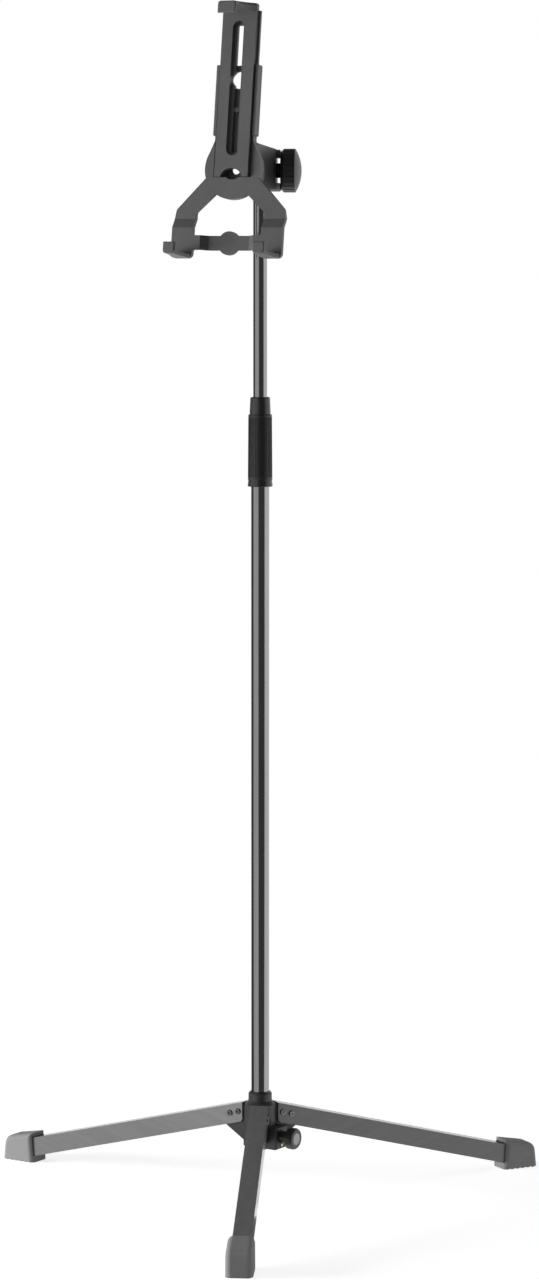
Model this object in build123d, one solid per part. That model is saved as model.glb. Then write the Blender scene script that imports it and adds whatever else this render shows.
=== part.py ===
"""Adjustable tablet floor stand: tripod base, telescopic column, tilting and turning tablet holder."""
from build123d import *
from math import atan2, cos, degrees, pi, radians, sin, tan
import os

# Lengths are millimetres. The column's axis is x = y = 0 while building, and z = 0 is the floor.
# A radius ends in _r, a height above the floor in _z.

# Clearances
run_gap = 0.05        # radial gap of a shaft or tube in its guide
seat_gap = 0.3        # gap between faces of bodies that move past each other
over = 1.0            # how far a cut runs past the face it opens

# Tripod
foot_reach = 349.0    # column axis to the outer end of a foot
leg_count = 3
leg_width = 20.0
leg_height = 21.0
leg_wall = 1.8
leg_top_z = 110.6     # the legs' top line carried to the column's axis
leg_low_z = 29.4      # height of that line where the feet begin
leg_start = 17.5      # inner end of a leg, from the axis
leg_in_foot = 15.0    # how far a leg runs into its foot
leg_corner = 5.0
rivet_places = (23.0, 34.0)
rivet_drop = 9.0      # rivet centre below the leg's top line
rivet_r = 2.2
rivet_head_r = 3.2
rivet_head = 1.5
rivet_hollow_r = 1.3
rivet_hollow = 1.0

foot_length = 44.0
foot_width = 29.0
foot_inner_height = 34.0
foot_outer_height = 27.0
foot_lean = 3.0       # how far the ends lean in from floor to top
foot_nose = 11.0      # rounding of the outer top edge
foot_shoulder = 6.0   # rounding of the long top edges
foot_mouth = 7.0      # depth of the widened mouth round the leg
foot_mouth_gap = 1.3
foot_rim = 1.0
tread_pitch = 6.8
tread_width = 3.4
tread_depth = 1.6
tread_count = 6

# Hub
hub_bottom_z = 57.0
hub_r = 16.8
hub_shoulder_z = 105.0
collar_r = 13.0
collar_base_z = 109.0
collar_top_z = 118.0
collar_round = 1.6
fin_reach = 50.0
fin_gap = 0.1
gusset_start = 40.3
gusset_low_z = 63.5
socket_floor = 5.0
bush_wall = 1.5
bush_length = 22.0
bush_lip = 1.4

# Hub clamp, between the front and the right leg
clamp_turn = -30.0    # degrees from +X
clamp_z = 70.6
block_reach = 28.5
block_width = 22.0
block_bottom_z = 57.5
block_top_z = 82.0
block_round = 1.5
clamp_screw_r = 3.0
clamp_pad_r = 4.0
clamp_pad = 2.4
base_knob_neck_r = 7.0
base_knob_head = 38.9     # where the knob widens, from the column's axis
base_knob_end = 48.4
base_knob_r = 11.9
base_knob_round = 3.0
base_knob_back_round = 1.0
base_knob_flutes = 16
base_knob_flute_r = 1.1
base_knob_flute = 0.35    # depth of a flute
knob_disc_r = 6.5
knob_disc = 1.2
screw_in_knob = 11.0
pin_r = 1.2
pin_length = 10.0
pin_drop = 9.2
pin_proud = 0.5

# Column
main_tube_r = 10.0
main_tube_wall = 1.2
main_tube_top_z = 800.0
inner_tube_r = 7.65
inner_tube_wall = 1.0
inner_tube_bottom_z = 390.0
inner_tube_top_z = 1104.0
plug_length = 30.0
plug_spigot = 14.0
end_cap = 4.0

# Clutch
clutch_ring_z = 790.0
clutch_ring_r = 13.75
clutch_ring_small_r = 13.0
clutch_ring_height = 7.0
clutch_core_r = 11.5
clutch_core_top_z = 836.0
grip_top_z = 868.5
grip_bottom_r = 13.4
grip_top_r = 12.9
grip_bore_r = 10.9
grip_cone_top_r = 9.6
grip_cone = 14.0
grip_ribs = 40
grip_rib_depth = 0.45
grip_rib_share = 0.55     # share of the pitch that a groove takes
grip_band = 3.0           # plain band at each end of the ribs
collet_skirt = 22.0
collet_flange = 3.0
collet_finger_r = 10.3
collet_tip_r = 9.2
collet_neck_r = 8.7
collet_slits = 4
collet_slit = 1.2
top_collar_z = 869.0
top_collar_top_z = 887.5
top_collar_low_r = 11.6
top_collar_high_r = 10.8

# Head: the knob's axis lies along +X through the pivot
pivot_z = 1132.2
post_collar_r = 9.4
post_collar = 4.6
post_spigot = 28.0
lug_left = -8.0
lug_right = 4.6
lug_r = 20.5
washer = 0.6
washer_r = 17.0
bolt_r = 4.0
bolt_head_r = 7.5
bolt_head = 5.0
bolt_end = 34.0
cheek_left = 5.5
cheek_face = 17.9
cheek_rim = 22.3
cheek_r = 22.6
cheek_rim_wall = 3.2
cheek_window = 27.0       # height of the opening across the cheek's rim
cheek_round = 1.2
cheek_corner_share = 0.8
knob_back = 22.7
knob_shoulder = 26.0
knob_rim = 38.3
knob_face = 45.0
knob_r = 23.6
knob_back_r = 20.6
knob_boss_r = 8.0
knob_lobes = 24
knob_lobe_r = 0.9

# Holder: placed by its heading from the front, its tilt back and its distance from the pivot
holder_pan = 22.4
holder_tilt = 7.4
holder_reach = 65.0
holder_rise = 1.4
holder_shift = 1.2        # to the holder's own left of the column's axis
plate_thick = 5.0
boss_back = 8.5           # back of the thick disc and rails, behind the front face
disc_r = 33.0
neck_low = (30.7, 11.6)   # where the neck leaves the disc
neck_half = 22.7
neck_v = 30.0
rail_bottom_v = 35.0
rail_top_v = 111.0
rail_half = 24.8
rail_front = 1.2
rail_lip = 2.9
rail_round = 1.0
rail_gap = 1.6            # between a rail's lip and the side of the slider
channel_depth = 5.5
channel_end_v = -9.4
hole_r = 12.0
hole_depth = 9.5
hole_wall = 2.0
hole_eye_r = 5.0
plate_hole_v = 95.4
plate_hole_r = 9.2

arm_outer_half = 65.8
arm_inner_half = 40.6
arm_root_out = (31.5, -10.5)
arm_root_in = (20.0, -28.5)
arm_elbow_out = (64.0, -44.0)
elbow_out_r = 7.0
elbow_in_r = 4.0
arm_elbow_in_v = -47.2
arm_shoulder_v = -54.0
step_low_v = -64.0
step_rise = 5.2
arm_bottom_v = -96.7
arm_corner = 5.0
bar_top_v = -72.1
bar_low_v = -87.7
bar_front = -1.0
bar_thick = 4.0
bar_ramp_in = 24.0
bar_ramp_out = 31.5
bar_boss_v = -80.0
bar_boss_r = 12.8

hook_front = 36.0
hook_lip = 3.0
hook_round = 1.4
hook_bend_share = 0.25    # how far the side of a hook bends in from a straight line
hook_root = 5.0           # length of the wide root before the side bends in
lower_lip_half = 6.9
lower_lip_top_v = -82.8
lower_lip_low_v = -95.2
lower_shelf_lip_v = -92.0
lower_shelf_root_v = -92.6
upper_lip_half = 10.7
upper_lip_top_v = 173.6
upper_lip_low_v = 161.0
upper_shelf_lip_v = 169.4
upper_shelf_root_v = 167.4
hook_corner = 3.3
lower_root_inset = 1.5    # from the side of the arm to the hook's root

# Swivel between holder and tilt arm
spigot_r = 18.0
spigot_back = 18.0
ring_front = 8.8
ring_web_back = 14.5
ring_clear = 39.0         # from the pivot to the back of the swivel ring
ring_r = 27.0
ring_bore_r = 22.0
retainer_r = 21.6
retainer_hole_r = 10.5
retainer = 2.5
friction_ring_r = 21.4
retainer_screw_ring_r = 15.0
retainer_screw_r = 1.25
retainer_screw_head_r = 2.3
retainer_screw_head = 1.4
retainer_screw = 8.0
retainer_screws = 3
web_top_rise = 29.3
web_top_left = -2.0
web_sag = 4.0
web_lift = 2.5            # web's underside over the bottom of the cheek
web_inner_share = 0.17

# Slider
slider_half = 19.9
slider_front = 3.5
flange_half = 22.2
flange_front = -2.0
flange_back = -5.2
slider_bottom_v = -9.0
slider_top_v = 177.0
flange_top_v = 169.0
notch_r = 14.0
groove_half = 7.3
groove_low_v = 13.5
groove_top_v = 157.8
groove_depth = 4.8
slot_half = 3.35
slot_low_v = 17.0
slot_top_v = 153.5
keyhole_r = 7.3
guide_stud_v = 63.0
guide_stud_r = 2.9

# Sizes that follow
foot_start = foot_reach - foot_length
leg_end = foot_start + leg_in_foot
leg_slope = degrees(atan2(leg_top_z - leg_low_z, foot_start))
base_knob_start = block_reach + seat_gap
ring_back = holder_reach - ring_clear


# Helpers
def slope_rise(r):
    """Fall of the leg's line at a distance from the axis."""
    return r * tan(radians(leg_slope))


def leg_line(r, drop=0.0):
    """A point of the leg's side outline: distance from the axis and height."""
    return (r, leg_top_z - slope_rise(r) - drop / cos(radians(leg_slope)))


def side_plate(points, width):
    """A side outline in the plane of a leg, as thick as width about that plane."""
    outline = make_face(Polyline(*points, close=True))
    return extrude(Plane.XZ * outline, amount=width / 2, both=True)


def ring(outer_r, inner_r, low, high):
    """A tube along Z."""
    body = Pos(0, 0, low) * Cylinder(outer_r, high - low, align=(Align.CENTER, Align.CENTER, Align.MIN))
    length = high - low + 2 * over
    bore = Cylinder(inner_r, length, align=(Align.CENTER, Align.CENTER, Align.MIN))
    return body - Pos(0, 0, low - over) * bore


def rod(radius, low, high):
    """A round bar along Z."""
    return Pos(0, 0, low) * Cylinder(radius, high - low, align=(Align.CENTER, Align.CENTER, Align.MIN))


def block(low, high):
    """A box between two corners."""
    size = [b - a for a, b in zip(low, high)]
    return Pos(*low) * Box(*size, align=(Align.MIN, Align.MIN, Align.MIN))


def turned(points):
    """A body turned about Z from its half outline of radius and height."""
    outline = make_face(Polyline(*points, close=True))
    return revolve(Plane.XZ * outline, axis=Axis.Z)


def about_leg(index):
    """The place of a leg: the first is the front one."""
    return Rot(0, 0, -90 + index * 360 / leg_count)


# Planes with Z along the axis that a piece turns on
tilt_axis = Plane(origin=(0, 0, pivot_z), x_dir=(0, 1, 0), z_dir=(1, 0, 0))
clamp_dir = (cos(radians(clamp_turn)), sin(radians(clamp_turn)), 0)
clamp_axis = Plane(origin=(0, 0, clamp_z), x_dir=(-clamp_dir[1], clamp_dir[0], 0), z_dir=clamp_dir)
pan = radians(holder_pan)
lean = radians(holder_tilt)
facing = (-sin(pan), -cos(pan))
holder_normal = (facing[0] * cos(lean), facing[1] * cos(lean), sin(lean))
holder_side = (cos(pan), -sin(pan), 0)
holder_up = (-facing[0] * sin(lean), -facing[1] * sin(lean), cos(lean))
aside = (-holder_side[0] * holder_shift, -holder_side[1] * holder_shift)
ahead = (facing[0] * holder_reach, facing[1] * holder_reach)
holder_centre = (ahead[0] + aside[0], ahead[1] + aside[1], pivot_z + holder_rise)
holder = Plane(origin=holder_centre, x_dir=holder_side, z_dir=holder_normal)


# Base
def make_leg():
    outline = [leg_line(leg_start), leg_line(leg_end)]
    outline += [leg_line(leg_end, leg_height), leg_line(leg_start, leg_height)]
    body = side_plate(outline, leg_width)
    inner_corner = body.edges().filter_by(Axis.Y).sort_by(lambda e: e.center().X + e.center().Z)[0]
    body = fillet(inner_corner, leg_corner)
    channel = [leg_line(leg_start - over, leg_wall), leg_line(leg_end + over, leg_wall)]
    channel += [leg_line(leg_end + over, leg_height + over), leg_line(leg_start - over, leg_height + over)]
    body -= side_plate(channel, leg_width - 2 * leg_wall)
    for r in rivet_places:
        body -= rivet_hole(r)
    return body


def rivet_hole(r):
    x, z = leg_line(r, rivet_drop)
    return Pos(x, 0, z) * Rot(90, 0, 0) * Cylinder(rivet_r, leg_width + 2 * over)


def make_rivet(r):
    x, z = leg_line(r, rivet_drop)
    shank = Cylinder(rivet_r, leg_width)
    for side in (1, -1):
        head = Pos(0, 0, side * (leg_width + rivet_head) / 2) * Cylinder(rivet_head_r, rivet_head)
        rim = head.edges().filter_by(GeomType.CIRCLE).sort_by(lambda e: side * e.center().Z)[-1]
        shank += fillet(rim, rivet_head / 2)
        mouth = side * (leg_width / 2 + rivet_head)
        shank -= Pos(0, 0, mouth) * Cylinder(rivet_hollow_r, 2 * rivet_hollow)
    return Pos(x, 0, z) * Rot(90, 0, 0) * shank


def foot_outline():
    low_in, low_out = (foot_start, 0), (foot_reach, 0)
    high_out = (foot_reach - foot_lean, foot_outer_height)
    high_in = (foot_start + foot_lean, foot_inner_height)
    return [low_in, low_out, high_out, high_in]


def make_foot():
    body = side_plate(foot_outline(), foot_width)
    nose = body.edges().filter_by(Axis.Y).sort_by(lambda e: e.center().X + e.center().Z)[-1]
    body = fillet(nose, foot_nose)
    top = [e for e in body.edges() if e.center().Z > foot_outer_height - foot_nose]
    long_top = [e for e in top if abs(abs(e.center().Y) - foot_width / 2) < seat_gap]
    body = fillet(long_top, foot_shoulder)
    inner = foot_start - over
    leg_pocket = [leg_line(inner), leg_line(leg_end)]
    leg_pocket += [leg_line(leg_end, leg_height), leg_line(inner, leg_height)]
    body -= side_plate(leg_pocket, leg_width)
    mouth_end = foot_start + foot_mouth
    mouth = [leg_line(inner, -foot_mouth_gap), leg_line(mouth_end, -foot_mouth_gap)]
    mouth += [leg_line(mouth_end, leg_height), leg_line(inner, leg_height)]
    body -= side_plate(mouth, leg_width + 2 * foot_mouth_gap)
    for tooth in range(tread_count):
        x = foot_start + tread_pitch * (tooth + 1) - tread_width / 2
        notch = [(x, -over), (x + tread_width, -over), (x + tread_width, 0)]
        notch += [(x + tread_width / 2, tread_depth), (x, 0)]
        body -= side_plate(notch, foot_width + 2 * over)
    return body


def fin():
    reach_under = leg_line(fin_reach, leg_height)
    web = leg_wall + fin_gap
    outline = [(0, hub_bottom_z), (0, leg_line(0, web)[1]), leg_line(fin_reach, web), reach_under]
    outline += [leg_line(gusset_start, leg_height), (hub_r, gusset_low_z), (hub_r, hub_bottom_z)]
    return side_plate(outline, leg_width - 2 * leg_wall - 2 * fin_gap)


def make_hub():
    outline = [(0, hub_bottom_z), (hub_r, hub_bottom_z), (hub_r, hub_shoulder_z), (collar_r, collar_base_z)]
    outline += [(collar_r, collar_top_z), (0, collar_top_z)]
    body = turned(outline)
    rim = body.edges().filter_by(GeomType.CIRCLE).sort_by(Axis.Z)[-1]
    body = fillet(rim, collar_round)
    for index in range(leg_count):
        arm = fin()
        for r in rivet_places:
            arm -= rivet_hole(r)
        body += about_leg(index) * arm
    low = (0, -block_width / 2, block_bottom_z)
    high = (block_reach, block_width / 2, block_top_z)
    clamp_block = block(low, high)
    clamp_block = fillet(clamp_block.edges().group_by(Axis.X)[-1], block_round)
    body += Rot(0, 0, clamp_turn) * clamp_block
    bore_r = main_tube_r + run_gap
    body -= rod(bore_r, hub_bottom_z + socket_floor, collar_top_z + over)
    body -= rod(bore_r + bush_wall, collar_top_z - bush_length, collar_top_z + over)
    body -= clamp_axis * rod(clamp_screw_r + run_gap, 0, block_reach + over)
    body -= clamp_axis * rod(clamp_pad_r + run_gap, 0, main_tube_r + clamp_pad + 2 * seat_gap)
    body -= pin_place() * rod(pin_r, 0, pin_length + over)
    return body


def make_bush():
    bore_r = main_tube_r + run_gap
    outer_r = bore_r + bush_wall
    body = ring(outer_r, bore_r, collar_top_z - bush_length, collar_top_z + bush_lip)
    rim = body.edges().filter_by(GeomType.CIRCLE).group_by(Axis.Z)[-1].sort_by(SortBy.RADIUS)[-1]
    return fillet(rim, bush_wall / 2)


def pin_place():
    return clamp_axis * Pos(0, -pin_drop, block_reach + pin_proud - pin_length)


def make_pin():
    return pin_place() * rod(pin_r, 0, pin_length)


def make_clamp_pad():
    start = main_tube_r + seat_gap
    return clamp_axis * rod(clamp_pad_r, start, start + clamp_pad)


def make_clamp_screw():
    start = main_tube_r + clamp_pad + 2 * seat_gap
    return clamp_axis * rod(clamp_screw_r, start, base_knob_start + screw_in_knob)


def fluted(body, radius, count, flute_r, low, high):
    """Grooves along Z round a turned body."""
    for index in range(count):
        turn = Rot(0, 0, index * 360 / count)
        body -= turn * Pos(radius, 0, 0) * rod(flute_r, low, high)
    return body


def make_base_knob():
    head = rod(base_knob_r, base_knob_head, base_knob_end)
    back = head.edges().filter_by(GeomType.CIRCLE).sort_by(Axis.Z)[0]
    head = fillet(back, base_knob_back_round)
    front = head.edges().filter_by(GeomType.CIRCLE).sort_by(Axis.Z)[-1]
    head = fillet(front, base_knob_round)
    flute_place = base_knob_r + base_knob_flute_r - base_knob_flute
    flute_low, flute_high = base_knob_head - over, base_knob_end - base_knob_round
    head = fluted(head, flute_place, base_knob_flutes, base_knob_flute_r, flute_low, flute_high)
    body = head + rod(base_knob_neck_r, base_knob_start, base_knob_head + over)
    body -= rod(knob_disc_r, base_knob_end - knob_disc, base_knob_end + over)
    body -= rod(clamp_screw_r, base_knob_start - over, base_knob_start + screw_in_knob)
    return clamp_axis * body


def make_knob_disc():
    body = rod(knob_disc_r, base_knob_end - knob_disc, base_knob_end)
    rim = body.edges().filter_by(GeomType.CIRCLE).sort_by(Axis.Z)[-1]
    return clamp_axis * fillet(rim, knob_disc / 3)


# Column
main_bore_r = main_tube_r - main_tube_wall
inner_bore_r = inner_tube_r - inner_tube_wall
socket_z = hub_bottom_z + socket_floor + seat_gap


def make_main_tube():
    return ring(main_tube_r, main_bore_r, socket_z + end_cap, main_tube_top_z)


def make_tube_end_cap():
    body = rod(main_tube_r, socket_z, socket_z + end_cap)
    return body + rod(main_bore_r, socket_z, socket_z + 2 * end_cap)


def make_clutch_ring():
    top = clutch_ring_z + clutch_ring_height
    outline = [(main_tube_r, clutch_ring_z), (clutch_ring_r - over / 2, clutch_ring_z)]
    outline += [(clutch_ring_r, clutch_ring_z + over / 2), (clutch_ring_small_r, top), (main_tube_r, top)]
    return turned(outline)


def make_clutch_core():
    low = clutch_ring_z + clutch_ring_height
    outline = [(main_tube_r, low), (clutch_core_r, low), (clutch_core_r, clutch_core_top_z)]
    bore_r = collet_finger_r + seat_gap
    outline += [(bore_r, clutch_core_top_z), (bore_r, main_tube_top_z), (main_tube_r, main_tube_top_z)]
    return turned(outline)


def make_clutch_grip():
    low = clutch_ring_z + clutch_ring_height + seat_gap
    core_r = clutch_core_r + run_gap
    neck_r = collet_neck_r + seat_gap
    cone_low = grip_top_z - grip_band - grip_cone
    outline = [(core_r, low), (grip_bottom_r, low), (grip_top_r, grip_top_z - over / 2)]
    outline += [(grip_top_r - over / 2, grip_top_z), (neck_r, grip_top_z), (neck_r, grip_top_z - grip_band)]
    outline += [(grip_cone_top_r, grip_top_z - grip_band), (grip_bore_r, cone_low)]
    outline += [(grip_bore_r, clutch_core_top_z + seat_gap), (core_r, clutch_core_top_z + seat_gap)]
    body = turned(outline)
    groove = grip_rib_share * 2 * pi * grip_bottom_r / grip_ribs
    cut_low, cut_high = low + grip_band, grip_top_z - grip_band
    bottom_r, top_r = grip_bottom_r - grip_rib_depth, grip_top_r - grip_rib_depth
    outer_r = bottom_r + over
    side = [(bottom_r, cut_low), (outer_r, cut_low), (outer_r, cut_high), (top_r, cut_high)]
    cutter = side_plate(side, groove)
    cutters = [Rot(0, 0, index * 360 / grip_ribs) * cutter for index in range(grip_ribs)]
    return body - cutters


def make_collet():
    bore_r = inner_tube_r + run_gap
    skirt_r = main_bore_r - run_gap
    shoulder = main_tube_top_z + collet_flange
    cone_low = grip_top_z - grip_band - grip_cone
    cone_top = grip_top_z - grip_band - seat_gap
    outline = [(bore_r, main_tube_top_z - collet_skirt), (skirt_r, main_tube_top_z - collet_skirt)]
    outline += [(skirt_r, main_tube_top_z), (collet_finger_r, main_tube_top_z), (collet_finger_r, cone_low)]
    outline += [(collet_tip_r, cone_top), (collet_neck_r, cone_top)]
    outline += [(collet_neck_r, top_collar_top_z - over), (bore_r, top_collar_top_z - over)]
    body = turned(outline)
    for index in range(collet_slits):
        low = (0, -collet_slit / 2, shoulder + over)
        high = (main_tube_r + over, collet_slit / 2, cone_top + seat_gap)
        body -= Rot(0, 0, index * 360 / collet_slits) * block(low, high)
    return body


def make_top_collar():
    outline = [(collet_neck_r, top_collar_z), (top_collar_low_r, top_collar_z)]
    outline += [(top_collar_high_r, top_collar_top_z - over), (top_collar_high_r - over, top_collar_top_z)]
    hole_r, seat_z = inner_tube_r + seat_gap, top_collar_top_z - over
    outline += [(hole_r, top_collar_top_z), (hole_r, seat_z), (collet_neck_r, seat_z)]
    return turned(outline)


def make_guide_plug():
    low = inner_tube_bottom_z - plug_length - seat_gap
    high = inner_tube_bottom_z - seat_gap
    spigot_r = inner_bore_r - run_gap
    body = rod(main_bore_r - run_gap, low, high)
    return body + rod(spigot_r, high - over, inner_tube_bottom_z + plug_spigot)


def make_extension_tube():
    return ring(inner_tube_r, inner_bore_r, inner_tube_bottom_z, inner_tube_top_z)


# Head
def make_head_post():
    spigot = rod(inner_bore_r, inner_tube_top_z - post_spigot, inner_tube_top_z)
    collar = rod(post_collar_r, inner_tube_top_z, inner_tube_top_z + post_collar)
    neck_top = pivot_z - lug_r / 2
    neck = block((lug_left, -post_collar_r, inner_tube_top_z), (lug_right, post_collar_r, neck_top))
    neck &= rod(post_collar_r, inner_tube_top_z, pivot_z)
    lug = tilt_axis * rod(lug_r, lug_left, lug_right)
    outer = lug.edges().filter_by(GeomType.CIRCLE).sort_by(Axis.X)[0]
    lug = fillet(outer, cheek_round)
    body = spigot + collar + neck + lug
    return body - tilt_axis * rod(bolt_r, lug_left - over, lug_right + over)


def make_friction_washer():
    return tilt_axis * ring(washer_r, bolt_r, lug_right, lug_right + washer)


def make_tilt_bolt():
    shaft = rod(bolt_r, lug_left, bolt_end)
    head_side = bolt_head_r * cos(pi / 6)
    hexagon = RegularPolygon(head_side, 6, major_radius=False)
    head = Pos(0, 0, lug_left - bolt_head) * extrude(hexagon, bolt_head)
    return tilt_axis * (shaft + head)


def make_tilt_knob():
    dome_rise = knob_face - knob_rim
    dome_r = (knob_r ** 2 + dome_rise ** 2) / (2 * dome_rise)
    bend = atan2(knob_r, dome_r - dome_rise) / 2
    dome_mid = (dome_r * sin(bend), knob_face - dome_r * (1 - cos(bend)))
    lines = Polyline((0, knob_back), (knob_back_r, knob_back), (knob_r, knob_shoulder), (knob_r, knob_rim))
    dome = ThreePointArc((knob_r, knob_rim), dome_mid, (0, knob_face))
    axis_line = Line((0, knob_face), (0, knob_back))
    body = revolve(Plane.XZ * make_face(lines + dome + axis_line), axis=Axis.Z)
    body = fluted(body, knob_r + knob_lobe_r / 3, knob_lobes, knob_lobe_r, knob_back - over, knob_rim - over)
    body += rod(knob_boss_r, cheek_face + seat_gap, knob_back + over)
    body -= rod(bolt_r + run_gap, cheek_face, bolt_end + seat_gap)
    return tilt_axis * body


def cheek():
    body = rod(cheek_r, cheek_left, cheek_rim)
    body = fillet(body.edges().filter_by(GeomType.CIRCLE), cheek_round)
    body -= rod(cheek_r - cheek_rim_wall, cheek_face, cheek_rim + over)
    half = cheek_r + over
    body -= block((-half, -cheek_window / 2, cheek_face), (half, cheek_window / 2, cheek_rim + over))
    return tilt_axis * body


def arm_web():
    """The wedge from the swivel ring back to the cheek: its plan cut by its front outline."""
    ring_edge = holder * Pos(ring_r - 2 * over, 0, -ring_front - over)
    ring_inner = holder * Pos(-ring_r * web_inner_share, 0, -ring_back)
    start = (ring_edge.position.X, ring_edge.position.Y)
    inner = (ring_inner.position.X, ring_inner.position.Y)
    clear = lug_r + 4 * over
    corner = (cheek_face, -cheek_r * cheek_corner_share)
    middle = ((start[0] + corner[0]) / 2 - web_sag / 2, (start[1] + corner[1]) / 2)
    front = ThreePointArc(start, middle, corner)
    around = [corner, (cheek_face, 0), (cheek_left, 0), (cheek_left, -clear)]
    around += [(inner[0], -clear - over), inner, start]
    plan = make_face(front + Polyline(*around))
    plan = Pos(0, 0, pivot_z) * extrude(plan, holder_reach, both=True)
    low, high = pivot_z - cheek_r + web_lift, pivot_z + web_top_rise
    side = [(2 * inner[0], low), (cheek_face + over, low), (cheek_face + over, pivot_z + cheek_r)]
    side += [(web_top_left, high), (2 * inner[0], high)]
    outline = Plane.XZ * make_face(Polyline(*side, close=True))
    return plan & extrude(outline, holder_reach + over, both=True)


def make_tilt_arm():
    swivel_ring = rod(ring_r, -ring_back, -ring_front)
    swivel_ring = fillet(swivel_ring.edges().filter_by(GeomType.CIRCLE), cheek_round)
    body = arm_web() + cheek() + holder * swivel_ring
    beside = 2 * ring_r
    body -= holder * block((-beside, -beside, -ring_front), (beside, beside, holder_reach))
    body -= holder * rod(ring_bore_r, -ring_back - ring_r, -ring_web_back)
    body -= holder * rod(spigot_r + run_gap, -ring_web_back - over, over)
    body -= tilt_axis * rod(bolt_r + run_gap, cheek_left - over, cheek_rim + over)
    return body


def make_friction_ring():
    return holder * ring(friction_ring_r, spigot_r + run_gap, -spigot_back + seat_gap, -ring_web_back)


def retainer_places():
    for index in range(retainer_screws):
        yield Rot(0, 0, index * 360 / retainer_screws) * Pos(retainer_screw_ring_r, 0, 0)


def make_retainer():
    body = ring(retainer_r, retainer_hole_r, -spigot_back - retainer, -spigot_back)
    for place in retainer_places():
        body -= place * rod(retainer_screw_r, -spigot_back - retainer - over, over)
    return holder * body


def make_retainer_screws():
    screws = []
    for place in retainer_places():
        outer = -spigot_back - retainer
        shank = rod(retainer_screw_r, outer, outer + retainer_screw)
        head = rod(retainer_screw_head_r, outer - retainer_screw_head, outer)
        rim = head.edges().filter_by(GeomType.CIRCLE).sort_by(Axis.Z)[0]
        head = fillet(rim, retainer_screw_head / 2)
        screws.append(holder * place * (shank + head))
    return screws


# Holder, drawn in its own plane: x to its right, y up along it, z out of its face
def plate(points, back, front):
    face = make_face(Polyline(*points, close=True))
    return Pos(0, 0, back) * extrude(face, front - back, dir=(0, 0, 1))


def across(points, half):
    """A side outline of place along the holder and height over it, as wide as twice half."""
    face = make_face(Plane.YZ * Polyline(*points, close=True))
    return extrude(face, half, dir=(1, 0, 0), both=True)


def upright(lines, low, high):
    """An outline seen from above, drawn along the holder from low to high."""
    return Pos(0, low, 0) * extrude(make_face(Plane.XZ * lines), high - low, dir=(0, 1, 0))


def mirrored(points):
    """A half outline given from bottom to top, closed by its mirror image."""
    return points + [(-x, y) for x, y in reversed(points)]


def arm_outline(side):
    """One arm down to the step, from its root on the disc."""
    points = [arm_root_in, (arm_inner_half, arm_elbow_in_v), (arm_inner_half, arm_shoulder_v)]
    points += [(arm_outer_half, arm_shoulder_v), arm_elbow_out, arm_root_out, (0, 0)]
    return [(side * x, y) for x, y in points]


def arm(side):
    """An arm as a plate, with its outer and inner elbow rounded."""
    face = make_face(Polyline(*arm_outline(side), close=True))
    for level, radius in ((arm_elbow_out[1], elbow_out_r), (arm_elbow_in_v, elbow_in_r)):
        elbow = [corner for corner in face.vertices() if abs(corner.Y - level) < seat_gap]
        face = fillet(elbow, radius)
    return Pos(0, 0, -plate_thick) * extrude(face, plate_thick, dir=(0, 0, 1))


def make_holder_plate():
    neck = mirrored([neck_low, (neck_half, neck_v), (neck_half, rail_bottom_v + over)])
    body = rod(disc_r, -boss_back, 0) + plate(neck, -boss_back, 0)
    rails = plate(mirrored([(rail_half, rail_bottom_v), (rail_half, rail_top_v)]), -boss_back, rail_front)
    body += fillet(rails.edges().filter_by(Axis.Z), rail_round)
    for side in (1, -1):
        body += arm(side)
        body += lower_arm(side)
    body += crossbar()
    body = fillet(window_edges(body), arm_corner / 2)
    body -= slider_channel()
    body += rod(spigot_r, -spigot_back, -channel_depth)
    body -= rod(hole_r, -hole_depth, over)
    body -= rod(hole_eye_r, -spigot_back, 0)
    body -= rod(hole_r, -spigot_back - over, -hole_depth - hole_wall)
    body -= Pos(0, plate_hole_v, 0) * rod(plate_hole_r, -boss_back - over, over)
    body -= Pos(0, guide_stud_v, 0) * rod(guide_stud_r, -boss_back - over, 0)
    for place in retainer_places():
        body -= place * rod(retainer_screw_r, -spigot_back - over, -spigot_back + retainer_screw - retainer)
    return holder * body


def slider_channel():
    slide_half = flange_half + seat_gap
    lip_half = slider_half + rail_gap
    low, top = rail_bottom_v - over, rail_top_v + over
    channel = block((-slide_half, channel_end_v, -channel_depth), (slide_half, rail_bottom_v, over))
    channel += block((-slide_half, low, -channel_depth), (slide_half, top, flange_front + seat_gap))
    return channel + block((-lip_half, low, -channel_depth), (lip_half, top, rail_front + over))


def lower_arm(side):
    """The step forward, the lower end of an arm and its hook."""
    half = (arm_outer_half - arm_inner_half) / 2
    ramp = [(arm_shoulder_v, 0), (step_low_v, step_rise), (arm_bottom_v, step_rise)]
    ramp += [(v, n - plate_thick) for v, n in reversed(ramp)]
    body = across(ramp, half)
    body = fillet(body.edges().filter_by(Axis.Z).group_by(Axis.Y)[0], arm_corner)
    back, lip_back = step_rise - over, hook_front - hook_lip
    outline = [(arm_bottom_v, back), (lower_lip_low_v, hook_front)]
    outline += [(lower_lip_top_v, hook_front), (lower_lip_top_v, lip_back), (lower_shelf_lip_v, lip_back)]
    outline += [(lower_shelf_root_v, step_rise), (lower_shelf_root_v, back)]
    root = half - lower_root_inset
    hook = across(outline, half) & hook_plan(root, back, lower_lip_half, arm_bottom_v, lower_lip_top_v)
    body += rounded_hook(hook, -1)
    return Pos(side * (arm_inner_half + half), 0, 0) * body


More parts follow.
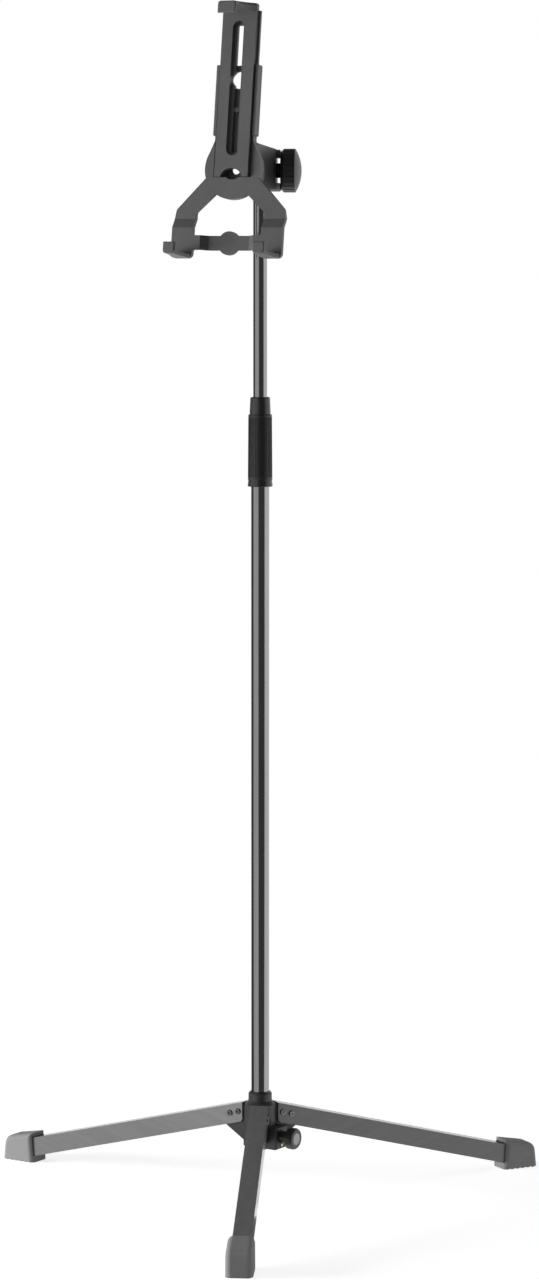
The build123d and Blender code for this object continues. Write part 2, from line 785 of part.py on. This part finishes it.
def hook_plan(root_half, root_back, lip_half, low, high):
    """A hook from above: as wide as its plate at the root, then drawn in by an arc to the lip."""
    root_front, lip_back = root_back + hook_root, hook_front - hook_lip
    straight, bend = 1 - hook_bend_share, hook_bend_share
    chord = ((root_half + lip_half) / 2, (root_front + lip_back) / 2)
    middle = (straight * chord[0] + bend * lip_half, straight * chord[1] + bend * root_front)
    root = mirrored([(root_half, root_back), (root_half, root_front)])
    lip = mirrored([(lip_half, hook_front), (lip_half, lip_back)])
    lines = Polyline(root[2], root[3], root[0], root[1])
    lines += ThreePointArc(root[1], middle, lip[1])
    lines += Polyline(lip[1], lip[0], lip[3], lip[2])
    lines += ThreePointArc(lip[2], (-middle[0], middle[1]), root[2])
    return upright(lines, low - over, high + over)


def rounded_hook(body, end):
    """Rounds the hook's long corners at its lower or upper end and the front of its lip."""
    faces = body.faces().sort_by(Axis.Y)
    outer = faces[0] if end < 0 else faces[-1]
    sides = [e for e in outer.edges() if abs(e.tangent_at(0).X) < abs(e.tangent_at(0).Z)]
    body = fillet(sides, hook_corner)
    return fillet(body.faces().sort_by(Axis.Z)[-1].edges(), hook_round)


def crossbar():
    half = arm_inner_half + over
    top = [(-half, step_rise), (-bar_ramp_out, step_rise), (-bar_ramp_in, bar_front)]
    top += [(bar_ramp_in, bar_front), (bar_ramp_out, step_rise), (half, step_rise)]
    under = [(x, z - bar_thick) for x, z in reversed(top)]
    bar = upright(Polyline(*top, *under, close=True), bar_low_v, bar_top_v)
    return bar + Pos(0, bar_boss_v, 0) * rod(bar_boss_r, bar_front - bar_thick, bar_front)


def window_edges(body):
    """Upright edges where the crossbar meets the arms."""
    edges = body.edges().filter_by(Axis.Z)
    beside = [e for e in edges if abs(abs(e.center().X) - arm_inner_half) < seat_gap]
    return [e for e in beside if min(abs(e.center().Y - v) for v in (bar_top_v, bar_low_v)) < seat_gap]


# Slider
def slot_face(half, low, high):
    return Pos(0, (low + high) / 2) * SlotOverall(high - low, 2 * half, rotation=90)


def make_slider():
    back = flange_front - over / 2
    body_top = upper_shelf_root_v + over
    body = block((-slider_half, slider_bottom_v, back), (slider_half, body_top, slider_front))
    body += block((-flange_half, slider_bottom_v, flange_back), (flange_half, flange_top_v, flange_front))
    lip_back = hook_front - hook_lip
    outline = [(upper_shelf_root_v, back), (slider_top_v, back)]
    outline += [(upper_lip_top_v, hook_front), (upper_lip_low_v, hook_front), (upper_lip_low_v, lip_back)]
    outline += [(upper_shelf_lip_v, lip_back), (upper_shelf_root_v, slider_front)]
    plan = hook_plan(slider_half, back, upper_lip_half, upper_lip_low_v, slider_top_v)
    body += rounded_hook(across(outline, slider_half) & plan, 1)
    groove = slot_face(groove_half, groove_low_v, groove_top_v)
    body -= Pos(0, 0, slider_front - groove_depth) * extrude(groove, groove_depth + over, dir=(0, 0, 1))
    body -= block((-slot_half, slot_low_v, flange_back - over), (slot_half, slot_top_v, slider_front + over))
    keyhole = Pos(0, plate_hole_v, 0) * rod(keyhole_r, flange_back - over, slider_front)
    beside = block((-groove_half, slot_low_v, flange_back - over), (slot_half, slot_top_v, slider_front))
    body -= keyhole & beside
    body -= Pos(0, -notch_r, 0) * rod(notch_r, flange_back - over, slider_front + over)
    return holder * body


def make_guide_stud():
    top = slider_front - groove_depth - seat_gap
    return holder * Pos(0, guide_stud_v, 0) * rod(guide_stud_r, -boss_back, top)


# Assembly
def build():
    nodes = {}
    names = ("front", "right", "left")
    leg = make_leg()
    foot = make_foot()
    rivets = [make_rivet(r) for r in rivet_places]
    for index, name in enumerate(names):
        place = about_leg(index)
        nodes["leg_" + name] = [place * leg]
        nodes["foot_" + name] = [place * foot]
        nodes["leg_rivets_" + name] = [place * rivet for rivet in rivets]
    nodes["base_hub"] = [make_hub()]
    nodes["column_bush"] = [make_bush()]
    nodes["block_pin"] = [make_pin()]
    nodes["clamp_pad"] = [make_clamp_pad()]
    nodes["clamp_screw"] = [make_clamp_screw()]
    nodes["base_knob"] = [make_base_knob()]
    nodes["base_knob_disc"] = [make_knob_disc()]
    nodes["main_tube"] = [make_main_tube()]
    nodes["main_tube_end_cap"] = [make_tube_end_cap()]
    nodes["clutch_ring"] = [make_clutch_ring()]
    nodes["clutch_core"] = [make_clutch_core()]
    nodes["clutch_collet"] = [make_collet()]
    nodes["clutch_top_collar"] = [make_top_collar()]
    nodes["clutch_grip"] = [make_clutch_grip()]
    nodes["guide_plug"] = [make_guide_plug()]
    nodes["extension_tube"] = [make_extension_tube()]
    nodes["head_post"] = [make_head_post()]
    nodes["friction_washer"] = [make_friction_washer()]
    nodes["tilt_bolt"] = [make_tilt_bolt()]
    nodes["tilt_knob"] = [make_tilt_knob()]
    nodes["tilt_arm"] = [make_tilt_arm()]
    nodes["friction_ring"] = [make_friction_ring()]
    nodes["retaining_ring"] = [make_retainer()]
    nodes["retaining_screws"] = make_retainer_screws()
    nodes["holder_plate"] = [make_holder_plate()]
    nodes["slider"] = [make_slider()]
    nodes["guide_stud"] = [make_guide_stud()]
    return nodes


def floor_middle(nodes):
    """Halfway between the feet, front to back: the origin of the finished part."""
    boxes = [nodes[name][0].bounding_box() for name in ("foot_front", "foot_right", "foot_left")]
    return (min(box.min.Y for box in boxes) + max(box.max.Y for box in boxes)) / 2


def main():
    os.makedirs("parts", exist_ok=True)
    nodes = build()
    shift = Pos(0, -floor_middle(nodes), 0)
    for name, solids in nodes.items():
        placed = [shift * solid for solid in solids]
        shape = placed[0] if len(placed) == 1 else Compound(children=placed)
        export_step(shape, "parts/" + name + ".step")
    print("column axis at y =", round(-floor_middle(nodes), 4))
    for label, plane in (("tilt axis", tilt_axis), ("clamp axis", clamp_axis), ("holder", holder)):
        origin = plane.origin + shift.position
        print(label, [round(v, 4) for v in origin], [round(v, 6) for v in plane.z_dir])
    print("slider direction", [round(v, 6) for v in holder.y_dir])


main()
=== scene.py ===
"""Adjustable tablet floor stand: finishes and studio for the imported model."""
from math import cos, pi, radians, sin

import bmesh
import bpy
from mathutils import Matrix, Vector


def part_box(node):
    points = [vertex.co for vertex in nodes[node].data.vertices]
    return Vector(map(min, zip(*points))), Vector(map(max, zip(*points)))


bl_info = {
    "name": "Tablet Floor Stand",
    "version": (1, 0, 0),
    "blender": (4, 5, 0),
    "location": "View3D > Sidebar > Tablet Stand",
    "description": "Finishes and stage of an adjustable tablet floor stand",
    "category": "Object",
}

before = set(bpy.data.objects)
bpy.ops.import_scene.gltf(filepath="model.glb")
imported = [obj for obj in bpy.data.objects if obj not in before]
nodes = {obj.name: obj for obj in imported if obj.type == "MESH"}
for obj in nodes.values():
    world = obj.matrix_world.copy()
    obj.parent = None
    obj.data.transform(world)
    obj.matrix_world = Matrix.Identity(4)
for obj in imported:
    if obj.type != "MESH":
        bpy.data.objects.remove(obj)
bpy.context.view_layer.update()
column_y = sum(corner.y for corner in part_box("main_tube")) / 2

# Numbers of the Mix node's sockets for colours
mix_factor, mix_first, mix_second, mix_result = 0, 6, 7, 2

# Colours that stay as they are
white = (1, 1, 1, 1)
paper_dark = (0.9, 0.9, 0.9, 1)
paper_light = (0.93, 0.93, 0.93, 1)
inner_colour = (0.3, 0.3, 0.3)
rubber_colour = (0.03, 0.03, 0.03)
brass_colour = (0.75, 0.55, 0.25)
disc_colour = (0.72, 0.72, 0.72)

# Depth of each finish's grain, in metres
sparked_grain = 0.00004
fine_pits = 0.000012
drawing_marks = 0.0000003
turning_marks = 0.000008
pebble_grain = 0.00005

# Scale of the drawing marks' pattern, which makes them 50 times longer along Z
drawn_scale = (1, 1, 0.02)

# Legs: how far each falls from level, and how far round the column it points
leg_fall = radians(14.9)
leg_turns = {"front": 0, "right": radians(120), "left": radians(240)}

# Floor, in metres: its radius, and between which radii its paper fades to white
floor_radius = 2.4
floor_corners = 96
floor_fade = (0.45, 1.3)

# Lamps: name, place and size in metres, and power in watts. All point at the column, at one height
lamps = (
    ("lamp_top", (0, 0, 3.4), (2.4, 2.4), 4),
    ("lamp_left", (-3.3, -0.4, 0.4), (1.4, 1.4), 150),
    ("lamp_right", (3.2, -0.2, 0.4), (1.4, 1.4), 20),
)
lamp_aim_z = 0.65

# Long side of the camera's sensor, in millimetres
sensor_side = 36

# Room that shiny pieces mirror, in degrees from the front: its two panels, and white outside front_span
left_panel_span = (-90, -18)
right_panel_span = (63, 154)
front_span = (-146, 158)

# Width of a soft edge in that room, in degrees
panel_edge = 6

# How far a mirrored direction rises where the room's dark ceiling fades in
ceiling_rise = (0.3, 0.5)


# Shader maths
class Expression:
    """A socket of a node tree that adds Math nodes when it is used in a sum or product."""

    def __init__(self, tree, socket):
        self.tree = tree
        self.socket = socket

    def math(self, operation, *values):
        """A Math node with this socket as its first value."""
        return self.tree.node("ShaderNodeMath", {"operation": operation}, [self, *values])

    def __add__(self, other):
        return self.math("ADD", other)

    def __radd__(self, other):
        return self.math("ADD", other)

    def __sub__(self, other):
        return self.math("SUBTRACT", other)

    def __rsub__(self, other):
        return self.tree.node("ShaderNodeMath", {"operation": "SUBTRACT"}, [other, self])

    def __mul__(self, other):
        return self.math("MULTIPLY", other)

    def __rmul__(self, other):
        return self.math("MULTIPLY", other)

    def clamped(self):
        """Kept between 0 and 1."""
        return self.tree.node("ShaderNodeClamp", {}, [self])

    def between(self, low, high):
        """0 below low, 1 above high, and smooth between them."""
        settings = {"interpolation_type": "SMOOTHSTEP"}
        inputs = {"Value": self, "From Min": low, "From Max": high}
        return self.tree.node("ShaderNodeMapRange", settings, inputs)


class Tree:
    """The nodes of one material or world."""

    def __init__(self, owner):
        owner.use_nodes = True
        self.owner = owner
        self.nodes = owner.node_tree.nodes
        self.links = owner.node_tree.links
        self.nodes.clear()

    def node(self, kind, settings=None, inputs=(), output=0):
        """Adds a node: its settings first, then the values or links of its sockets."""
        made = self.nodes.new(kind)
        for name, value in (settings or {}).items():
            setattr(made, name, value)
        pairs = inputs.items() if isinstance(inputs, dict) else enumerate(inputs)
        for key, value in pairs:
            if isinstance(value, Expression):
                self.links.new(value.socket, made.inputs[key])
            else:
                made.inputs[key].default_value = value
        return Expression(self, made.outputs[output]) if made.outputs else None

    def place(self, stretch=(1, 1, 1), turn=(0, 0, 0)):
        """Object coordinates, turned and stretched for a pattern."""
        found = self.node("ShaderNodeTexCoord", output="Object")
        inputs = {"Vector": found, "Rotation": turn}
        turned = self.node("ShaderNodeMapping", {"vector_type": "TEXTURE"}, inputs)
        return self.node("ShaderNodeMapping", {}, {"Vector": turned, "Scale": stretch})

    def noise(self, place, scale, detail, roughness=0.5):
        """Cloudy noise from 0 to 1, finer with a larger scale."""
        settings = {"noise_dimensions": "3D"}
        inputs = {"Vector": place, "Scale": scale, "Detail": detail, "Roughness": roughness}
        return self.node("ShaderNodeTexNoise", settings, inputs)

    def blend(self, share, first, second):
        """A colour between two colours."""
        inputs = {mix_factor: share, mix_first: first, mix_second: second}
        return self.node("ShaderNodeMix", {"data_type": "RGBA"}, inputs, mix_result)

    def bump(self, height, depth):
        """A surface raised by a height from 0 to 1, times a depth in metres."""
        return self.node("ShaderNodeBump", {}, {"Height": height, "Distance": depth})

    def glow(self, strength):
        """White light of a strength."""
        return self.node("ShaderNodeEmission", {}, {"Color": white, "Strength": strength})

    def surface(self, settings):
        """Adds the main shader and the output, and gives back the finished material."""
        shader = self.node("ShaderNodeBsdfPrincipled", {}, settings)
        self.node("ShaderNodeOutputMaterial", {}, [shader])
        return self.owner


# Finishes
def shade(colour, share):
    """A lighter or darker version of a colour, with alpha."""
    return tuple(min(1.0, channel * share) for channel in colour[:3]) + (1.0,)


def grained_plastic(name, colour, roughness=0.48):
    """Moulded plastic with a fine sparked grain, faint flow marks and rubbed patches."""
    tree = Tree(bpy.data.materials.new(name))
    place = tree.place()
    spark = tree.noise(place, scale=2600, detail=2)
    coarse = tree.noise(place, scale=420, detail=4)
    cloud = tree.noise(place, scale=14, detail=3)
    tone = (cloud * 0.75 + coarse * 0.25).between(0.25, 0.75)
    rub = tree.noise(place, scale=55, detail=5, roughness=0.65).between(0.55, 0.8)
    return tree.surface({
        "Base Color": tree.blend(tone, shade(colour, 0.9), shade(colour, 1.12)),
        "Roughness": spark * 0.12 + (roughness - 0.06) - rub * 0.06,
        "Normal": tree.bump(spark * 0.6 + coarse * 0.4, sparked_grain),
    })


def smooth_plastic(name, colour, roughness=0.3):
    """Glossier plastic with faint swirls and dust-fine pits."""
    tree = Tree(bpy.data.materials.new(name))
    place = tree.place()
    pits = tree.noise(place, scale=3200, detail=2)
    cloud = tree.noise(place, scale=30, detail=4)
    return tree.surface({
        "Base Color": tree.blend(cloud.between(0.3, 0.7), shade(colour, 0.88), shade(colour, 1.15)),
        "Roughness": cloud * 0.1 + pits * 0.05 + (roughness - 0.07),
        "Normal": tree.bump(pits, fine_pits),
    })


def coated_metal(name, colour, turn=(0, 0, 0), roughness=0.15, metallic=1.0):
    """Polished, darkly coated metal with faint drawing marks along its length: Z, or Z after the turn."""
    tree = Tree(bpy.data.materials.new(name))
    along = tree.place(drawn_scale, turn)
    streak = tree.noise(along, scale=700, detail=3)
    wide = tree.noise(along, scale=160, detail=3)
    dust = tree.noise(tree.place(), scale=38, detail=4, roughness=0.6)
    return tree.surface({
        "Base Color": tree.blend(wide.between(0.3, 0.7), shade(colour, 0.95), shade(colour, 1.05)),
        "Metallic": metallic,
        "Roughness": streak * 0.04 + dust.between(0.5, 0.8) * 0.04 + (roughness - 0.03),
        "Normal": tree.bump(streak, drawing_marks),
    })


def plated_steel(name, colour, roughness=0.3):
    """Plated hardware with fine turning marks and a little tarnish."""
    tree = Tree(bpy.data.materials.new(name))
    place = tree.place()
    fine = tree.noise(place, scale=1800, detail=3)
    tarnish = tree.noise(place, scale=140, detail=4, roughness=0.6).between(0.45, 0.75)
    return tree.surface({
        "Base Color": tree.blend(tarnish, shade(colour, 1.1), shade(colour, 0.7)),
        "Metallic": 1.0,
        "Roughness": fine * 0.14 + tarnish * 0.1 + (roughness - 0.07),
        "Normal": tree.bump(fine, turning_marks),
    })


def soft_rubber(name, colour):
    """Matt rubber with a fine pebble grain and scuffed places."""
    tree = Tree(bpy.data.materials.new(name))
    place = tree.place()
    pebble = tree.noise(place, scale=1500, detail=3, roughness=0.6)
    scuff = tree.noise(place, scale=45, detail=5, roughness=0.7).between(0.5, 0.78)
    return tree.surface({
        "Base Color": tree.blend(scuff, shade(colour, 0.96), shade(colour, 1.12)),
        "Roughness": pebble * 0.1 + scuff * 0.08 + 0.62,
        "Specular IOR Level": 0.35,
        "Normal": tree.bump(pebble, pebble_grain),
    })


def dress(names, material):
    """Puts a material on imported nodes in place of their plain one."""
    for name in names:
        mesh = nodes[name].data
        mesh.materials.clear()
        mesh.materials.append(material)


# Sizes and colours that a user may change
def colour_property(name, description, default):
    """A colour for the colour picker, from 0 to 1 in each channel."""
    return bpy.props.FloatVectorProperty(
        name=name, description=description, default=default, subtype="COLOR", size=3, min=0.0, max=1.0)


class TabletStandColours(bpy.types.PropertyGroup):
    """Colours of the finishes"""
    hub: colour_property("Hub", "Moulded hub of the tripod", (0.05, 0.051, 0.053))
    foot: colour_property("Feet", "Rubber feet", (0.39, 0.39, 0.393))
    leg: colour_property("Legs", "Coated legs", (0.25, 0.25, 0.253))
    tube: colour_property("Tubes", "Coated column tubes", (0.28, 0.28, 0.283))
    clutch: colour_property("Clutch", "Clutch grip and collars", (0.03, 0.03, 0.031))
    holder: colour_property("Holder", "Moulded holder, slider and head", (0.115, 0.118, 0.116))
    knob: colour_property("Knobs", "Tilt knob and clamp knob", (0.03, 0.03, 0.031))
    steel: colour_property("Steel", "Screws and rings", (0.5, 0.5, 0.51))


class TabletStandStage(bpy.types.PropertyGroup):
    """Camera, light and floor"""
    distance: bpy.props.FloatProperty(
        name="Distance", description="From the camera to the column, measured along the floor",
        default=4.278, unit="LENGTH")
    height: bpy.props.FloatProperty(
        name="Height", description="Height of the camera", default=1.056, unit="LENGTH")
    azimuth: bpy.props.FloatProperty(
        name="Azimuth", description="Camera's place round the column", default=radians(3.60), unit="ROTATION")
    pitch: bpy.props.FloatProperty(
        name="Pitch", description="Downward tilt of the camera", default=radians(5.80), unit="ROTATION")
    lens: bpy.props.FloatProperty(
        name="Lens", description=f"Focal length for a {sensor_side} mm long side",
        default=110.36, unit="CAMERA")
    shift: bpy.props.FloatProperty(
        name="Shift", description="Sideways lens shift", default=0.0073)
    world: bpy.props.FloatProperty(
        name="Room light", description="Level of the plain light all round", default=0.12, min=0.0)
    lamp: bpy.props.FloatProperty(
        name="Lamps", description="Level of the soft lamps", default=1.0, min=0.0)
    floor: bpy.props.FloatProperty(
        name="Floor", description="Share of white that the camera sees on the floor beside its light",
        default=0.76, min=0.0)
    left_panel: bpy.props.FloatProperty(
        name="Left panel", description="Brightness of the left panel in reflections", default=0.76, min=0.0)
    right_panel: bpy.props.FloatProperty(
        name="Right panel", description="Brightness of the right panel in reflections", default=1.2, min=0.0)
    dark_side: bpy.props.FloatProperty(
        name="Dark side", description="Brightness of the rest of the room in reflections",
        default=0.1, min=0.0)


# Pieces
class TABLETSTAND_OT_tripod(bpy.types.Operator):
    """Finish the hub, the legs, their rivets and the feet"""
    bl_idname = "tabletstand.tripod"
    bl_label = "Tripod"

    def execute(self, context):
        colours = context.scene.tablet_stand_colours
        dress(["base_hub"], grained_plastic("hub_plastic", colours.hub))
        dress(["column_bush"], smooth_plastic("bush_plastic", shade(colours.hub, 0.5)))
        for place, turn in leg_turns.items():
            lean = (pi / 2 - leg_fall, 0, turn)
            coating = coated_metal("leg_coating_" + place, colours.leg, lean, roughness=0.2, metallic=0.0)
            dress(["leg_" + place], coating)
        dress(["leg_rivets_" + place for place in leg_turns],
              plated_steel("rivet_metal", shade(colours.steel, 0.35)))
        dress(["foot_" + place for place in leg_turns], soft_rubber("foot_rubber", colours.foot))
        dress(["block_pin"], plated_steel("pin_brass", brass_colour, roughness=0.25))
        return {"FINISHED"}


class TABLETSTAND_OT_column(bpy.types.Operator):
    """Finish the tubes, the clutch and what is inside the column"""
    bl_idname = "tabletstand.column"
    bl_label = "Column"

    def execute(self, context):
        colours = context.scene.tablet_stand_colours
        dress(["main_tube", "extension_tube"], coated_metal("tube_coating", colours.tube))
        dress(["clutch_grip"], grained_plastic("grip_plastic", colours.clutch, roughness=0.45))
        dress(["clutch_ring", "clutch_top_collar"],
              smooth_plastic("collar_plastic", colours.clutch, roughness=0.28))
        dress(["clutch_core", "clutch_collet", "guide_plug", "main_tube_end_cap", "clamp_pad"],
              smooth_plastic("inner_plastic", inner_colour, roughness=0.4))
        return {"FINISHED"}


class TABLETSTAND_OT_knobs(bpy.types.Operator):
    """Finish the clamp knob and the tilt knob"""
    bl_idname = "tabletstand.knobs"
    bl_label = "Knobs"

    def execute(self, context):
        colours = context.scene.tablet_stand_colours
        dress(["base_knob"], smooth_plastic("base_knob_plastic", colours.knob, roughness=0.32))
        dress(["base_knob_disc"], smooth_plastic("disc_plastic", disc_colour, roughness=0.35))
        dress(["tilt_knob"], grained_plastic("tilt_knob_plastic", colours.knob, roughness=0.4))
        dress(["clamp_screw", "tilt_bolt"], plated_steel("bolt_steel", colours.steel))
        return {"FINISHED"}


class TABLETSTAND_OT_head(bpy.types.Operator):
    """Finish the head, the holder and its slider"""
    bl_idname = "tabletstand.head"
    bl_label = "Head and holder"

    def execute(self, context):
        colours = context.scene.tablet_stand_colours
        dress(["head_post", "tilt_arm"],
              grained_plastic("head_plastic", shade(colours.holder, 0.22), roughness=0.42))
        dress(["holder_plate"], grained_plastic("holder_plastic", colours.holder))
        dress(["slider"], grained_plastic("slider_plastic", colours.holder))
        dress(["friction_washer", "friction_ring"], soft_rubber("friction_rubber", rubber_colour))
        dress(["retaining_ring", "retaining_screws"], plated_steel("ring_steel", shade(colours.steel, 0.8)))
        dress(["guide_stud"], smooth_plastic("stud_plastic", shade(colours.holder, 0.9), roughness=0.4))
        return {"FINISHED"}


# Stage
def ray_kind(tree, name):
    """1 for rays of one kind, such as Camera, and 0 for the others."""
    return tree.node("ShaderNodeLightPath", output="Is " + name + " Ray")


def seen_and_mirrored(tree):
    """Two masks: what the camera sees straight or through glass, and what shiny pieces mirror."""
    shown = (ray_kind(tree, "Camera") + ray_kind(tree, "Transmission")).clamped()
    return shown, ray_kind(tree, "Glossy") * (1 - shown)


def panel(angle, start, end):
    """1 inside a light panel between two directions round the object, in degrees from the front."""
    half = panel_edge / 2
    inside = angle.between(radians(start - half), radians(start + half))
    return inside * (1 - angle.between(radians(end - half), radians(end + half)))


def mirrored_room(tree, stage, direction):
    """What shiny pieces mirror: a dark front between a left and a right panel, and white behind."""
    x, y, z = (tree.node("ShaderNodeSeparateXYZ", {}, [direction], axis) for axis in "XYZ")
    angle = x.math("ARCTAN2", y * -1)
    left = panel(angle, *left_panel_span) * stage.left_panel
    right = panel(angle, *right_panel_span) * stage.right_panel
    behind = 1 - panel(angle, *front_span)
    level = left + right + behind + stage.dark_side
    above = z.between(*ceiling_rise)
    return level * (1 - above) + stage.dark_side * above


def add_lamp(name, place, aim, size, power):
    """A soft rectangular lamp that shiny pieces don't mirror."""
    light = bpy.data.lights.new(name, "AREA")
    light.shape = "RECTANGLE"
    light.size, light.size_y = size
    light.energy = power
    lamp = bpy.data.objects.new(name, light)
    lamp.location = place
    lamp.rotation_euler = (Vector(aim) - Vector(place)).to_track_quat("-Z", "Y").to_euler()
    lamp.visible_glossy = False
    bpy.context.scene.collection.objects.link(lamp)


class TABLETSTAND_OT_stage(bpy.types.Operator):
    """Make the floor, the light and the camera"""
    bl_idname = "tabletstand.stage"
    bl_label = "Stage"

    def execute(self, context):
        stage = context.scene.tablet_stand_stage
        self.make_floor(stage)
        self.make_world(context.scene, stage)
        for name, place, size, power in lamps:
            add_lamp(name, place, (0, column_y, lamp_aim_z), size, power * stage.lamp)
        self.make_camera(context.scene, stage)
        return {"FINISHED"}

    def make_floor(self, stage):
        """A round sheet of pale paper that keeps the shadow and fades to white."""
        mesh = bpy.data.meshes.new("floor")
        shape = bmesh.new()
        bmesh.ops.create_circle(shape, cap_ends=True, segments=floor_corners, radius=floor_radius)
        shape.to_mesh(mesh)
        shape.free()
        floor = bpy.data.objects.new("floor", mesh)
        bpy.context.scene.collection.objects.link(floor)
        material = bpy.data.materials.new("floor_paper")
        mesh.materials.append(material)
        tree = Tree(material)
        place = tree.place()
        spot = tree.node("ShaderNodeVectorMath", {"operation": "LENGTH"}, [place], "Value")
        shown, mirrored = seen_and_mirrored(tree)
        fade = spot.between(*floor_fade) * shown
        fibre = tree.noise(place, scale=240, detail=3)
        colour = tree.blend(fibre, paper_dark, paper_light)
        paper = tree.node("ShaderNodeBsdfDiffuse", {}, {"Color": colour})
        paper = tree.node("ShaderNodeAddShader", {}, [paper, tree.glow(shown * stage.floor)])
        room = tree.glow(mirrored_room(tree, stage, place))
        shader = tree.node("ShaderNodeMixShader", {}, [fade, paper, tree.glow(1.0)])
        shader = tree.node("ShaderNodeMixShader", {}, [mirrored, shader, room])
        tree.node("ShaderNodeOutputMaterial", {}, [shader])

    def make_world(self, scene, stage):
        """White where the camera looks, the mirrored room in reflections, and a plain level elsewhere."""
        world = bpy.data.worlds.new("studio")
        scene.world = world
        tree = Tree(world)
        shown, mirrored = seen_and_mirrored(tree)
        room = mirrored_room(tree, stage, tree.node("ShaderNodeTexCoord", output="Generated"))
        strength = shown + mirrored * room + (1 - shown) * (1 - mirrored) * stage.world
        sky = tree.node("ShaderNodeBackground", {}, {"Color": white, "Strength": strength})
        tree.node("ShaderNodeOutputWorld", {}, [sky])

    def make_camera(self, scene, stage):
        """The camera, placed and tilted by the stage's settings."""
        data = bpy.data.cameras.new("camera")
        data.sensor_width = sensor_side
        data.lens = stage.lens
        data.shift_x = stage.shift
        camera = bpy.data.objects.new("camera", data)
        away = Vector((sin(stage.azimuth), -cos(stage.azimuth), 0))
        camera.location = Vector((0, column_y, stage.height)) + away * stage.distance
        camera.rotation_euler = (pi / 2 - stage.pitch, 0, stage.azimuth)
        scene.collection.objects.link(camera)
        scene.camera = camera
        scene.view_settings.view_transform = "Standard"


class TABLETSTAND_PT_pieces(bpy.types.Panel):
    """Lists the pieces, their colours and the stage"""
    bl_idname = "TABLETSTAND_PT_pieces"
    bl_label = "Tablet Stand"
    bl_space_type = "VIEW_3D"
    bl_region_type = "UI"
    bl_category = "Tablet Stand"

    def draw(self, context):
        layout = self.layout
        for piece in piece_operators:
            layout.operator(piece.bl_idname)
        for group in (context.scene.tablet_stand_colours, context.scene.tablet_stand_stage):
            for name in group.__annotations__:
                layout.prop(group, name)


piece_operators = (
    TABLETSTAND_OT_tripod,
    TABLETSTAND_OT_column,
    TABLETSTAND_OT_knobs,
    TABLETSTAND_OT_head,
    TABLETSTAND_OT_stage,
)
classes = (TabletStandColours, TabletStandStage, *piece_operators, TABLETSTAND_PT_pieces)


def register():
    for part in classes:
        bpy.utils.register_class(part)
    bpy.types.Scene.tablet_stand_colours = bpy.props.PointerProperty(type=TabletStandColours)
    bpy.types.Scene.tablet_stand_stage = bpy.props.PointerProperty(type=TabletStandStage)


def unregister():
    del bpy.types.Scene.tablet_stand_stage
    del bpy.types.Scene.tablet_stand_colours
    for part in reversed(classes):
        bpy.utils.unregister_class(part)


def main():
    register()
    bpy.ops.tabletstand.tripod()
    bpy.ops.tabletstand.column()
    bpy.ops.tabletstand.knobs()
    bpy.ops.tabletstand.head()
    bpy.ops.tabletstand.stage()


if __name__ == "__main__":
    main()
